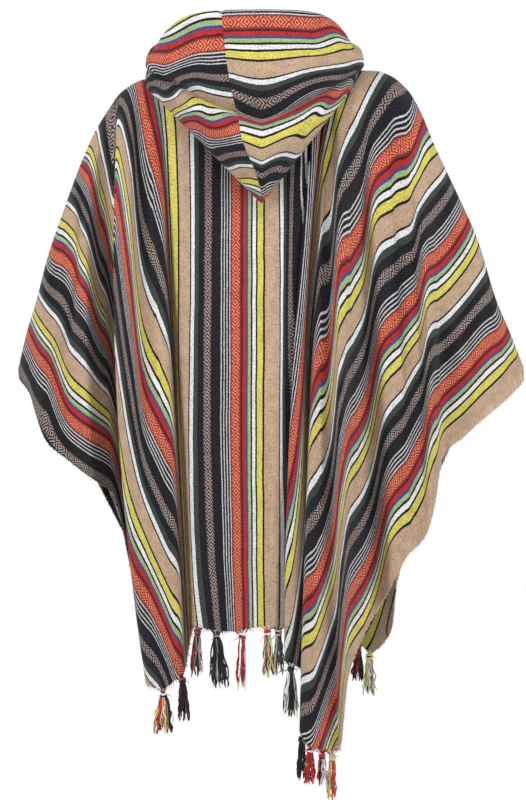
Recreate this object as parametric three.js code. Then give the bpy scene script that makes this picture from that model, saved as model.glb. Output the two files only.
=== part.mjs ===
// Hooded striped poncho, worn: one blanket length hung over the shoulders and both lowered arms,
// with a pointed hood lying on the back and knotted fringe along both hems.
// Millimetres, +Z up. +X is the wearer's right, +Y the way the wearer faces.
// The origin is at the base of the neck, level with the shoulders, where the wearer carries it.
import * as THREE from "three";
import { mergeVertices } from "three/addons/utils/BufferGeometryUtils.js";

const CLOTH_THICKNESS = 2;
const SEAM_GAP = 0.3; // between two pieces that are sewn or folded together
const ARM_ROUND = 60; // drop in which the cloth turns from the top of an arm to hanging plumb
const ARM_ROUND_SHARE = 0.8; // the most of a short hang line that this turn takes

const NECK_HALF_WIDTH = 78;
const NECK_BACK = -72;
const NECK_FRONT = 74;
const NECK_SIDE_Z = 24;
const NECK_BACK_Z = 6;
const NECK_FRONT_Z = -14;
const SLIT_DEPTH = 130; // the short neck slit at the centre front
const SLIT_HALF_WIDTH = 12;
const SLIT_LEAN = 0.3; // how far the slit's foot lies forward, as a share of its depth
const NECK_MARGIN = 0.01; // a hang line this close to the neck's side still leaves the shoulder line

const PANEL_STEPS_DOWN = 12;
const PANEL_STEPS_PER_LINE = 2;
const PANEL_STEP_POWER = 1.55; // closer rings near the shoulders

const CLOTH_COLOUR = 0xb79a7d;
const FRONT_COLOUR = 0xa98d73;
const HOOD_LEFT_COLOUR = 0x3c4150;
const HOOD_RIGHT_COLOUR = 0x8c3f38;
const FRINGE_COLOUR = 0x4a3a3a;
const CLOTH_ROUGHNESS = 0.9;
const YARN_ROUGHNESS = 0.95;

// The line over the shoulders and arms where the front and back of the cloth meet.
const SHOULDER_LINE = [
  ["x", "y", "z"],
  [-409, 18, -474],
  [-394, 17, -412],
  [-378, 15, -360],
  [-358, 13, -284],
  [-332, 10, -209],
  [-304, 8, -133],
  [-282, 6, -83],
  [-262, 5, -49],
  [-234, 4, -11],
  [-201, 2, 8],
  [-150, 0, 18],
  [-78, 0, 24],
  [78, 0, 24],
  [150, 0, 24],
  [190, 1, 23],
  [213, 2, 16],
  [243, 4, -8],
  [262, 5, -38],
  [291, 8, -106],
  [328, 11, -184],
  [361, 13, -258],
  [392, 15, -358],
  [415, 17, -412],
  [439, 18, -472],
];

// Hang lines of the back panel, left to right: where each line leaves the shoulder line (top_x),
// how far back the cloth stands just below it (near), at half its drop (mid) and at its lower
// edge (low). Lines whose x turns back make the overlapping pleats.
const BACK_LINES = [
  ["name", "top_x", "near_y", "mid_x", "mid_y", "low_x", "low_y", "low_z"],
  ["left_tip", -409, 4, -408, 4, -406, 2, -494],
  ["left_cuff", -395, -30, -394, -30, -388, -26, -516],
  ["left_cuff_inner", -380, -42, -380, -48, -377, -44, -548],
  ["left_wing_crest", -358, -46, -359, -66, -358, -62, -596],
  ["left_wing_dimple", -324, -50, -322, -58, -320, -66, -629],
  ["left_wing_swell", -292, -52, -292, -84, -284, -76, -656],
  ["left_valley", -266, -56, -265, -46, -250, -40, -682],
  ["left_tuck_bend", -252, -60, -240, -38, -208, -22, -860],
  ["left_tuck", -244, -62, -222, -56, -166, -40, -982],
  ["left_fold_edge", -236, -66, -240, -98, -192, -84, -994],
  ["left_fold_face", -212, -74, -209, -124, -166, -116, -1004],
  ["left_fold_slope", -188, -80, -172, -122, -142, -118, -988],
  ["left_pleat_lip", -174, -83, -151, -112, -129, -110, -976],
  ["left_pleat", -163, -85, -142, -90, -120, -82, -930],
  ["panel_left_edge", -150, -87, -130, -114, -111, -118, -899],
  ["panel_left", -112, -90, -95, -130, -80, -136, -905],
  ["neck_left", -78, -88, -58, -128, -46, -130, -908],
  ["nape_left", -42, -86, -30, -126, -20, -128, -903],
  ["nape", 0, -86, 2, -127, 4, -130, -899],
  ["nape_right", 42, -87, 28, -128, 20, -132, -899],
  ["neck_right", 78, -88, 46, -122, 34, -120, -902],
  ["right_pleat_bend", 90, -88, 70, -110, 82, -104, -925],
  ["right_pleat_edge", 96, -88, 52, -130, 37, -138, -954],
  ["strip", 103, -88, 64, -132, 50, -142, -960],
  ["right_valley", 110, -88, 76, -108, 104, -118, -1010],
  ["right_fold_edge", 118, -88, 82, -128, 62, -158, -1064],
  ["right_fold_face", 134, -87, 102, -150, 86, -174, -1096],
  ["right_crest", 152, -86, 124, -158, 124, -176, -1101],
  ["right_slope", 170, -84, 150, -132, 141, -146, -980],
  ["right_hollow", 192, -80, 190, -92, 203, -98, -852],
  ["right_hollow_rise", 214, -74, 224, -94, 236, -92, -790],
  ["right_outer_crest", 242, -66, 254, -112, 270, -92, -752],
  ["right_outer_slope", 264, -58, 278, -96, 286, -76, -700],
  ["right_wing_inner", 292, -52, 296, -70, 300, -60, -622],
  ["right_wing", 324, -50, 328, -64, 338, -58, -586],
  ["right_wing_outer", 356, -48, 360, -60, 372, -54, -555],
  ["right_cuff_inner", 384, -44, 390, -46, 404, -42, -529],
  ["right_cuff", 412, -32, 415, -30, 424, -24, -510],
  ["right_tip", 439, 4, 439, 4, 439, 2, -496],
];

// Hang lines of the front panel, which hangs plainer and about 100 shorter than the back.
const FRONT_LINES = [
  ["name", "top_x", "near_y", "mid_x", "mid_y", "low_x", "low_y", "low_z"],
  ["left_tip", -409, 32, -408, 32, -406, 32, -494],
  ["left_cuff", -395, 62, -394, 62, -388, 60, -508],
  ["left_wing_outer", -358, 72, -356, 84, -350, 78, -578],
  ["left_wing", -324, 74, -318, 66, -312, 64, -610],
  ["left_wing_crest", -266, 74, -264, 100, -257, 84, -712],
  ["left_valley", -236, 78, -226, 74, -219, 66, -780],
  ["left_fold", -188, 86, -176, 124, -168, 124, -850],
  ["left_hollow", -150, 90, -134, 104, -130, 98, -838],
  ["neck_left", -78, 92, -84, 138, -88, 146, -812],
  ["slit_left", -38, 96, -44, 122, -48, 124, -806],
  ["slit_left_edge", -12, 96, -14, 134, -14, 138, -804],
  ["slit", 0, 98, 0, 136, 0, 140, -804],
  ["slit_right_edge", 12, 96, 14, 134, 14, 136, -804],
  ["slit_right", 38, 96, 46, 120, 50, 120, -806],
  ["neck_right", 78, 92, 86, 138, 90, 144, -816],
  ["right_hollow", 134, 90, 128, 102, 124, 94, -862],
  ["right_fold", 170, 88, 166, 126, 162, 112, -940],
  ["right_corner", 190, 84, 188, 114, 187, 94, -956],
  ["right_selvage", 206, 82, 210, 96, 220, 78, -917],
  ["right_selvage_rise", 222, 80, 226, 90, 229, 74, -838],
  ["right_wing_crest", 264, 74, 266, 104, 264, 86, -744],
  ["right_wing", 324, 74, 328, 70, 336, 66, -578],
  ["right_cuff_inner", 384, 70, 388, 72, 396, 68, -522],
  ["right_cuff", 412, 60, 414, 60, 420, 58, -504],
  ["right_tip", 439, 32, 439, 32, 439, 32, -496],
];

// Rings of the hood, from the neckline seam down inside the sack to its point, and up its outside
// to the face edge. Each ring runs round the neck: widths to the two sides, depth and height at
// the back, side and front, and how sharp its V is at the back (1 is straight arms).
const HOOD_RINGS = [
  ["name", "left", "right", "back_y", "side_y", "front_y", "back_z", "side_z", "over_z",
    "front_z", "vee", "seam_x"],
  ["neckline", 78, 78, -72, 0, 74, 8, 26, 34, -12, 2, 0],
  ["stand", 94, 92, -88, -6, 82, 28, 40, 40, -2, 2, 0],
  ["sack_inner_top", 128, 120, -108, -34, 86, -8, 30, 52, 2, 1.7, 0],
  ["sack_inner", 156, 132, -126, -62, 88, -84, 19, 60, 6, 1.25, 0],
  ["sack_inner_low", 178, 144, -136, -86, 90, -158, 5, 64, 10, 1.1, 3],
  ["sack_fold", 192, 150, -148, -99, 92, -207, -12, 68, 14, 1.0, 4],
  ["sack_outer_low", 192, 152, -172, -106, 94, -172, -4, 74, 18, 1.05, -8],
  ["sack_outer", 190, 156, -188, -106, 96, -122, 4, 80, 22, 1.15, -32],
  ["pinch", 186, 160, -172, -92, 97, -70, 14, 84, 26, 1.3, -42],
  ["roll_low", 192, 168, -194, -90, 98, -40, 26, 88, 30, 1.7, -48],
  ["roll", 188, 166, -197, -84, 99, 8, 40, 92, 34, 2.2, -56],
  ["roll_high", 176, 152, -188, -74, 99, 66, 54, 94, 38, 4, -63],
  ["roll_top", 170, 144, -171, -60, 98, 108, 66, 94, 42, 5.5, -67],
  ["face_edge", 160, 134, -160, -50, 96, 98, 60, 88, 44, 5.5, -67],
];
const HOOD_REACH = 172; // degrees round the neck, from the centre back to the front end
const HOOD_FRONT_HALF_WIDTH = 16;
const HOOD_STEPS_ROUND = 14;
const HOOD_STEPS_PER_RING = 2;
const SEAM_STEP = 0.06; // angle either side of the seam over which its slope is read
const NECK_SEAM_RISE = 2.2; // hood edge above the mid-surface of the panels' edge

// Fringe: the hem position of each tassel, as the hang line that it hangs from, and its length.
const BACK_FRINGE = [
  ["line", "length"],
  [10.15, 74],
  [11.8, 78],
  [14.2, 82],
  [15.15, 94],
  [16.5, 97],
  [18.3, 84],
  [19.55, 79],
  [22.85, 88],
  [25.2, 76],
  [25.75, 63],
  [26.3, 58],
  [26.75, 79],
];
const FRONT_FRINGE = [
  ["line", "length"],
  [6.1, 80],
  [7.3, 80],
  [8.3, 80],
  [9.3, 80],
  [11.0, 80],
  [12.7, 80],
  [13.9, 80],
  [14.8, 80],
  [16.05, 66],
  [16.85, 76],
];
const KNOT_RADIUS = 5;
const SKIRT_RADIUS = 8;
const TASSEL_PROFILE = [
  ["radius", "drop"],
  [0.2 * KNOT_RADIUS, 0],
  [0.5 * KNOT_RADIUS, 0.08],
  [KNOT_RADIUS, 0.14],
  [0.75 * KNOT_RADIUS, 0.2],
  [SKIRT_RADIUS, 0.6],
  [0.85 * SKIRT_RADIUS, 1],
];
const FRINGE_SIDES = 8;
const TASSEL_TOP_REACH = 0.2 * KNOT_RADIUS; // the hem is read this far either side of a tassel
const HEM_CLEARANCE = 0.6; // from the hem's middle down to a tassel, as the hem's edge is tilted
const NEARBY = 0.05; // share of a hang line over which the hem's run is read

// Turns a table whose first row names its columns into a list of objects.
function readTable(table) {
  const [names, ...rows] = table;
  return rows.map((row) => Object.fromEntries(names.map((name, i) => [name, row[i]])));
}

// Value at x of a smooth curve through the points (xs, ys), which never overshoots between them.
function curveAt(xs, ys, x) {
  const last = xs.length - 1;
  let i = 0;
  while (i < last - 1 && x > xs[i + 1]) i += 1;
  const secant = (k) => (ys[k + 1] - ys[k]) / (xs[k + 1] - xs[k]);
  const slope = (k) => {
    if (k === 0) return secant(0);
    if (k === last) return secant(last - 1);
    const before = secant(k - 1);
    const after = secant(k);
    return before * after <= 0 ? 0 : (2 * before * after) / (before + after);
  };
  const width = xs[i + 1] - xs[i];
  const t = (x - xs[i]) / width;
  const blend = t * t * (3 - 2 * t);
  const bend = slope(i) * t * (1 - t) ** 2 - slope(i + 1) * t * t * (1 - t);
  return ys[i] * (1 - blend) + ys[i + 1] * blend + bend * width;
}

// Reads every column of a table at a position between its rows.
function rowAt(rows, position) {
  const counts = rows.map((_, i) => i);
  const read = (name) => curveAt(counts, rows.map((row) => row[name]), position);
  const names = Object.keys(rows[0]).filter((name) => name !== "name");
  return Object.fromEntries(names.map((name) => [name, read(name)]));
}

// Curve through a top, middle and low value at 0, 0.5 and 1.
function throughThree(top, mid, low, t) {
  return top * (1 - t) * (1 - 2 * t) + mid * 4 * t * (1 - t) + low * t * (2 * t - 1);
}

// Point of the neck hole's edge at an angle from the centre back, positive to the wearer's right.
function necklinePoint(angle) {
  const back = Math.cos(angle) > 0;
  const reach = back ? NECK_BACK : NECK_FRONT;
  const level = back ? NECK_BACK_Z : NECK_FRONT_Z;
  const depth = Math.abs(Math.cos(angle));
  const z = NECK_SIDE_Z + (level - NECK_SIDE_Z) * depth * depth;
  return new THREE.Vector3(NECK_HALF_WIDTH * Math.sin(angle), reach * depth, z);
}

// Top point of a hang line: on the neck hole's edge inside the neck, else on the shoulder line.
function topPoint(line, isBack) {
  if (Math.abs(line.top_x) >= NECK_HALF_WIDTH - NECK_MARGIN) {
    const read = (name) => shoulders.map((row) => row[name]);
    const y = curveAt(read("x"), read("y"), line.top_x) + (isBack ? -0.5 : 0.5) * SEAM_GAP;
    return new THREE.Vector3(line.top_x, y, curveAt(read("x"), read("z"), line.top_x));
  }
  const side = Math.asin(line.top_x / NECK_HALF_WIDTH);
  const point = necklinePoint(isBack ? side : Math.PI - side);
  const slit = Math.max(0, 1 - Math.abs(line.top_x) / SLIT_HALF_WIDTH);
  if (!isBack) point.z -= SLIT_DEPTH * slit;
  if (!isBack) point.y += SLIT_LEAN * SLIT_DEPTH * slit;
  return point;
}

// Point of a panel at a hang line and a share of its drop.
function panelPoint(rows, position, drop, isBack) {
  const line = rowAt(rows, position);
  const top = topPoint(line, isBack);
  const z = top.z + (line.low_z - top.z) * drop;
  const x = throughThree(top.x, line.mid_x, line.low_x, drop);
  const plumb = throughThree(line.near_y, line.mid_y, line.low_y, drop);
  const round = Math.min(ARM_ROUND, ARM_ROUND_SHARE * (top.z - line.low_z));
  const turn = Math.min((top.z - z) / round, 1);
  const y = top.y + (plumb - top.y) * Math.sqrt(1 - (1 - turn) * (1 - turn));
  return new THREE.Vector3(x, y, z);
}

// Grid of mid-surface points of a panel, one list for each hang line.
function panelGrid(rows, isBack) {
  const grid = [];
  const columns = (rows.length - 1) * PANEL_STEPS_PER_LINE;
  for (let i = 0; i <= columns; i += 1) {
    const column = [];
    for (let j = 0; j <= PANEL_STEPS_DOWN; j += 1) {
      const drop = (j / PANEL_STEPS_DOWN) ** PANEL_STEP_POWER;
      column.push(panelPoint(rows, i / PANEL_STEPS_PER_LINE, drop, isBack));
    }
    grid.push(column);
  }
  return grid;
}

// Unit normals of a grid of points, from the steps to the neighbours along and across.
function gridNormals(grid) {
  const last = grid.length - 1;
  return grid.map((column, i) =>
    column.map((_, j) => {
      const end = column.length - 1;
      const across = grid[Math.min(i + 1, last)][j].clone().sub(grid[Math.max(i - 1, 0)][j]);
      const down = column[Math.min(j + 1, end)].clone().sub(column[Math.max(j - 1, 0)]);
      return across.cross(down).normalize();
    }),
  );
}

// Closed wall of cloth on a grid of mid-surface points, half its thickness to either side.
function wallGeometry(grid, normals) {
  const rows = grid.length;
  const columns = grid[0].length;
  const positions = [];
  for (const side of [0.5, -0.5]) {
    for (let i = 0; i < rows; i += 1) {
      for (let j = 0; j < columns; j += 1) {
        const offset = side * CLOTH_THICKNESS;
        positions.push(...grid[i][j].clone().addScaledVector(normals[i][j], offset));
      }
    }
  }
  const faces = [];
  const at = (side, i, j) => side * rows * columns + i * columns + j;
  const quad = (a, b, c, d) => faces.push(a, b, c, a, c, d);
  for (let i = 0; i < rows - 1; i += 1) {
    for (let j = 0; j < columns - 1; j += 1) {
      quad(at(0, i, j), at(0, i + 1, j), at(0, i + 1, j + 1), at(0, i, j + 1));
      quad(at(1, i, j), at(1, i, j + 1), at(1, i + 1, j + 1), at(1, i + 1, j));
    }
  }
  for (let i = 0; i < rows - 1; i += 1) {
    const end = columns - 1;
    quad(at(0, i + 1, 0), at(0, i, 0), at(1, i, 0), at(1, i + 1, 0));
    quad(at(0, i, end), at(0, i + 1, end), at(1, i + 1, end), at(1, i, end));
  }
  for (let j = 0; j < columns - 1; j += 1) {
    const end = rows - 1;
    quad(at(0, 0, j), at(0, 0, j + 1), at(1, 0, j + 1), at(1, 0, j));
    quad(at(0, end, j + 1), at(0, end, j), at(1, end, j), at(1, end, j + 1));
  }
  const geometry = new THREE.BufferGeometry();
  geometry.setAttribute("position", new THREE.Float32BufferAttribute(positions, 3));
  geometry.setIndex(faces);
  return mergeVertices(geometry, 1e-3);
}

// Makes one named mesh in its own cloth finish.
function piece(name, geometry, colour, roughness) {
  const material = new THREE.MeshStandardMaterial({ color: colour, roughness, metalness: 0 });
  const mesh = new THREE.Mesh(geometry, material);
  mesh.name = name;
  return mesh;
}

// A front or back panel. Its top edge lies level across the shoulders, so that the two panels
// meet there face to face.
function panel(name, rows, isBack, colour) {
  const grid = panelGrid(rows, isBack);
  const normals = gridNormals(grid);
  const level = new THREE.Vector3(0, isBack ? -1 : 1, 0);
  grid.forEach((column, i) => {
    if (Math.abs(column[0].x) < NECK_HALF_WIDTH - NECK_MARGIN) return;
    const next = grid[Math.min(i + 1, grid.length - 1)][0];
    const ridge = next.clone().sub(grid[Math.max(i - 1, 0)][0]);
    normals[i][0] = ridge.setY(0).cross(level).normalize();
  });
  return piece(name, wallGeometry(grid, normals), colour, CLOTH_ROUGHNESS);
}

// Point of the hood at a ring and an angle round the neck.
function hoodPoint(ring, angle) {
  const sine = Math.abs(Math.sin(angle));
  const cosine = Math.cos(angle);
  const width = angle < 0 ? ring.left : ring.right;
  const side = Math.sign(angle);
  if (cosine >= 0) {
    const y = ring.side_y + (ring.back_y - ring.side_y) * cosine;
    const z = ring.side_z + (ring.back_z - ring.side_z) * (1 - sine ** ring.vee);
    return new THREE.Vector3(side * width * sine, y, z);
  }
  const x = side * (HOOD_FRONT_HALF_WIDTH + (width - HOOD_FRONT_HALF_WIDTH) * sine);
  const y = ring.side_y - (ring.front_y - ring.side_y) * cosine;
  const forward = -cosine;
  const over = 2 * forward * (1 - forward) * ring.over_z;
  const z = ring.side_z * (1 - forward) ** 2 + over + ring.front_z * forward ** 2;
  return new THREE.Vector3(x, y, z);
}

// One half of the hood, from the seam at the back round to its front end. Both halves take the
// same normals along the seam, so that their edges stand face to face there.
function hoodHalf(name, rings, isLeft, colour) {
  const sign = isLeft ? -1 : 1;
  const reach = sign * THREE.MathUtils.degToRad(HOOD_REACH);
  const count = (rings.length - 1) * HOOD_STEPS_PER_RING;
  const grid = [];
  const seamAcross = [];
  for (let i = 0; i <= count; i += 1) {
    const ring = rowAt(rings, i / HOOD_STEPS_PER_RING);
    const width = ring.seam_x < 0 ? ring.left : ring.right;
    const seam = Math.asin(ring.seam_x / width);
    const start = seam + (sign * SEAM_GAP) / width;
    const place = (angle) => {
      if (i > 0) return hoodPoint(ring, angle);
      return necklinePoint(angle).add(new THREE.Vector3(0, 0, NECK_SEAM_RISE));
    };
    const loop = [];
    for (let j = 0; j <= HOOD_STEPS_ROUND; j += 1) {
      loop.push(place(start + (reach - start) * (j / HOOD_STEPS_ROUND)));
    }
    grid.push(loop);
    seamAcross.push(place(seam + SEAM_STEP).sub(place(seam - SEAM_STEP)));
  }
  const normals = gridNormals(grid);
  grid.forEach((_, i) => {
    const down = grid[Math.min(i + 1, count)][0].clone().sub(grid[Math.max(i - 1, 0)][0]);
    normals[i][0] = down.cross(seamAcross[i]).multiplyScalar(sign).normalize();
  });
  return piece(name, wallGeometry(grid, normals), colour, CLOTH_ROUGHNESS);
}

// A knotted tassel of the fringe: gathered at the hem, a round knot, then a soft skirt.
function tassel(name, top, length) {
  const outline = readTable(TASSEL_PROFILE);
  const rim = outline.map(({ radius, drop }) => new THREE.Vector2(radius, -drop * length));
  const points = [new THREE.Vector2(0, 0), ...rim, new THREE.Vector2(0, -length)].reverse();
  const geometry = new THREE.LatheGeometry(points, FRINGE_SIDES);
  geometry.rotateX(Math.PI / 2);
  geometry.deleteAttribute("normal");
  geometry.deleteAttribute("uv");
  const mesh = piece(name, mergeVertices(geometry, 1e-3), FRINGE_COLOUR, YARN_ROUGHNESS);
  mesh.position.copy(top);
  return mesh;
}

// Point of a panel's lower edge at a hang line, on the straight run between two grid columns.
function hemPoint(rows, line, isBack) {
  const column = Math.floor(line * PANEL_STEPS_PER_LINE);
  const ends = [column, column + 1].map((c) => panelPoint(rows, c / PANEL_STEPS_PER_LINE, 1, isBack));
  return ends[0].lerp(ends[1], line * PANEL_STEPS_PER_LINE - column);
}

// All the tassels of one hem, each hung just clear of the cloth's lower edge.
function fringe(prefix, table, rows, isBack) {
  const group = new THREE.Group();
  readTable(table).forEach(({ line, length }, i) => {
    const hem = hemPoint(rows, line, isBack);
    const linesPerMm = NEARBY / hem.distanceTo(hemPoint(rows, line + NEARBY, isBack));
    const reach = TASSEL_TOP_REACH * linesPerMm;
    const beside = [-reach, reach].map((step) => hemPoint(rows, line + step, isBack).z);
    hem.z = Math.min(hem.z, ...beside) - HEM_CLEARANCE;
    group.add(tassel(prefix + String(i + 1).padStart(2, "0"), hem, length));
  });
  return group;
}

const shoulders = readTable(SHOULDER_LINE);
const backRows = readTable(BACK_LINES);
const frontRows = readTable(FRONT_LINES);
const hoodRings = readTable(HOOD_RINGS);

const poncho = new THREE.Group();
poncho.add(panel("back_panel", backRows, true, CLOTH_COLOUR));
poncho.add(panel("front_panel", frontRows, false, FRONT_COLOUR));
poncho.add(hoodHalf("hood_left", hoodRings, true, HOOD_LEFT_COLOUR));
poncho.add(hoodHalf("hood_right", hoodRings, false, HOOD_RIGHT_COLOUR));
poncho.add(fringe("fringe_back_", BACK_FRINGE, backRows, true));
poncho.add(fringe("fringe_front_", FRONT_FRINGE, frontRows, false));

export default poncho;
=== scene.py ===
"""Hooded poncho of striped handloomed cotton, worn over lowered arms, its hood lying on the back.

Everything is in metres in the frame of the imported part: +X is the wearer's right, +Y the way the
wearer faces, +Z up, and the origin is at the base of the neck. Tables are in millimetres.
"""

import logging
import math
from dataclasses import dataclass, fields
from enum import Enum
from functools import reduce

import bpy
import numpy as np
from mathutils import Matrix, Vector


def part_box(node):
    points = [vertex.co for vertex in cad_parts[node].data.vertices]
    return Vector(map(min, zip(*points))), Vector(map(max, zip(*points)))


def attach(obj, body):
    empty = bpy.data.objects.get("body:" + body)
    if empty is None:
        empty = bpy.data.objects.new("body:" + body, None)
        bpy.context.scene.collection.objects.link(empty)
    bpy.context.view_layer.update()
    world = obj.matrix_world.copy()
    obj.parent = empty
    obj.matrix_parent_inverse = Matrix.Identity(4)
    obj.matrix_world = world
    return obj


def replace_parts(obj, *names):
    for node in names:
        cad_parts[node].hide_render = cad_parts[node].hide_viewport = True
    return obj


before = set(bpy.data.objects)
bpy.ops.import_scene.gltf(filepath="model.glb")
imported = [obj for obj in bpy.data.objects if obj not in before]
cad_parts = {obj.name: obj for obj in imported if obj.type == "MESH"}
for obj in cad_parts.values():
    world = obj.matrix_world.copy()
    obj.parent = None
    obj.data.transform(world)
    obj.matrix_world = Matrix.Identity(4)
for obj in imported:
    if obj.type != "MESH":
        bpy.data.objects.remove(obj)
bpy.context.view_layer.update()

LOG = logging.getLogger("poncho")

Array = np.ndarray
Random = np.random.Generator
Socket = bpy.types.NodeSocket
Thing = bpy.types.Object
Colour = tuple[float, float, float]

MM = 0.001
TINY = 1e-9
LEAST_NORMAL = 1e-12
SEED = 1867

STRIPE_REPEAT = 153.5 * MM
CHAIN_REPEAT = 27.5 * MM
BACK_STEPS, FRONT_STEPS = 11, 9
RIM_ANGLE = math.radians(60)
STRAND_SIDE = np.array([0.31, 0.92, 0.24])
STRAND_TIP = 0.12

SENSOR_WIDTH = 36.0
FOCAL_LENGTH = 163.6
CAMERA_PLACE = (0.00165, -6.1, -0.528)


class Half(Enum):
    """The half of the blanket length that hangs behind or before the wearer."""

    BACK = "back"
    FRONT = "front"


class Side(Enum):
    """The wearer's left or right, as the sign of X."""

    LEFT = -1
    RIGHT = 1


class Motif(Enum):
    """What is woven into a stripe."""

    PLAIN = "plain"
    SPECKLED = "speckled"
    CHAIN = "chain"


# --------------------------------------------------------------------------- curves and grids


def curve_at(xs: Array, ys: Array, x: Array) -> Array:
    """Reads a smooth curve through points, which never overshoots between them.

    A cubic in each span, whose slope at a point is the harmonic mean of the slopes to either side,
    or level where they change sign.

    Args:
        xs: rising abscissas.
        ys: values at them.
        x: where to read.

    Returns:
        The values, in the shape of x.
    """
    widths = np.diff(xs)
    secants = np.diff(ys) / widths
    before, after = secants[:-1], secants[1:]
    same_way = before * after > 0
    total = np.where(same_way, before + after, 1.0)
    inner = np.where(same_way, 2 * before * after / total, 0.0)
    slopes = np.concatenate([secants[:1], inner, secants[-1:]])
    i = np.clip(np.searchsorted(xs, x, side="left") - 1, 0, len(xs) - 2)
    t = (x - xs[i]) / widths[i]
    blend = t * t * (3 - 2 * t)
    bend = slopes[i] * t * (1 - t) ** 2 - slopes[i + 1] * t * t * (1 - t)
    return ys[i] * (1 - blend) + ys[i + 1] * blend + bend * widths[i]


def through_three(top: Array, mid: Array, low: Array, t: Array) -> Array:
    """Parabola through a top, middle and low value at 0, 0.5 and 1."""
    return top * (1 - t) * (1 - 2 * t) + mid * 4 * t * (1 - t) + low * t * (2 * t - 1)


def through_points(values: list[Array], at: tuple[float, ...], t: Array) -> Array:
    """Curve through values at the places given: Lagrange's sum of products."""
    total = 0.0
    for k, value in enumerate(values):
        share = 1.0
        for other in at[:k] + at[k + 1:]:
            share = share * (t - other) / (at[k] - other)
        total = total + value * share
    return total


def unit(vectors: Array, least: float = 0.0) -> Array:
    """Vectors brought to length 1, except that those shorter than least stay short."""
    return vectors / np.maximum(np.linalg.norm(vectors, axis=-1, keepdims=True), least)


def records(kind: type, rows: list[tuple]) -> list:
    """Makes a record of one kind from each row of a table."""
    return [kind(*row) for row in rows]


def bell(x: Array) -> Array:
    """Smooth bump, 1 at 0 and nothing beyond 1 either way: a raised cosine."""
    return np.where(np.abs(x) < 1, 0.5 + 0.5 * np.cos(np.pi * np.clip(x, -1, 1)), 0.0)


def smooth_step(x: Array, start: float, end: float) -> Array:
    """Rises from 0 at start to 1 at end with level ends."""
    t = np.clip((x - start) / (end - start), 0, 1)
    return t * t * (3 - 2 * t)


class Table:
    """Rows of one dataclass read as columns, with smooth values between the rows."""

    def __init__(self, rows: list) -> None:
        """Keeps each column of the rows."""
        names = [f.name for f in fields(rows[0])]
        self.columns = {n: np.array([getattr(r, n) for r in rows], dtype=float) for n in names}
        self.index = np.arange(len(rows), dtype=float)

    def positions(self, steps: int) -> Array:
        """Positions from the first row to the last, some steps to a row, as a column."""
        last = len(self.index) - 1
        return np.linspace(0, last, last * steps + 1)[:, None]

    def at(self, position: Array, name: str, scale: float = MM) -> Array:
        """Reads a column at positions between the rows, in metres unless it has another scale."""
        return curve_at(self.index, self.columns[name], position) * scale


def grid_normals(points: Array) -> Array:
    """Unit normals of a grid of points, from the steps to the neighbours along and across.

    Args:
        points: array (columns, rows, 3).

    Returns:
        Array of the same shape, pointing to the cloth's right side.
    """
    return unit(np.cross(np.gradient(points, axis=0), np.gradient(points, axis=1)), LEAST_NORMAL)


@dataclass(frozen=True)
class NeckHole:
    """The neck hole's edge: an oval from above, highest at its sides."""

    half_width: float = 78 * MM
    side_z: float = 24 * MM
    back_y: float = -72 * MM
    front_y: float = 74 * MM
    back_z: float = 6 * MM
    front_z: float = -14 * MM
    slack: float = 0.01 * MM

    def edge(self, depth: Array, behind: Array) -> tuple[Array, Array]:
        """y and z of the edge, where depth is 0 at its sides and 1 in the middle."""
        level = np.where(behind, self.back_z, self.front_z)
        y = np.where(behind, self.back_y, self.front_y) * depth
        return y, self.side_z + (level - self.side_z) * depth**2

    def spans(self, x: Array) -> Array:
        """Whether each x lies between the sides of the hole."""
        return np.abs(x) < self.half_width - self.slack


NECK = NeckHole()


def mesh_object(name: str, points: Array, faces: Array, uv: Array | None = None,
                colours: Array | None = None) -> Thing:
    """Makes a smooth-shaded mesh object.

    Args:
        name: the piece's name.
        points: array (n, 3) in metres.
        faces: array (m, 4) or (m, 3) of vertex numbers.
        uv: coordinates of each vertex for the UV map.
        colours: linear colour of each vertex for the attribute "yarn".

    Returns:
        The object, linked to the scene.
    """
    mesh = bpy.data.meshes.new(name)
    sides = faces.shape[1]
    mesh.vertices.add(len(points))
    mesh.vertices.foreach_set("co", points.astype(np.float32).ravel())
    mesh.loops.add(faces.size)
    mesh.loops.foreach_set("vertex_index", faces.astype(np.int32).ravel())
    mesh.polygons.add(len(faces))
    mesh.polygons.foreach_set("loop_start", np.arange(0, faces.size, sides, dtype=np.int32))
    mesh.update(calc_edges=True)
    mesh.validate()
    mesh.polygons.foreach_set("use_smooth", np.ones(len(faces), dtype=bool))
    if uv is not None:
        layer = mesh.uv_layers.new(name="weave")
        layer.data.foreach_set("uv", uv[faces.ravel()].astype(np.float32).ravel())
    if colours is not None:
        layer = mesh.color_attributes.new(name="yarn", type="FLOAT_COLOR", domain="POINT")
        rgba = np.concatenate([colours, np.ones((len(colours), 1))], axis=1)
        layer.data.foreach_set("color", rgba.astype(np.float32).ravel())
    thing = bpy.data.objects.new(name, mesh)
    bpy.context.scene.collection.objects.link(thing)
    return thing


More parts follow.
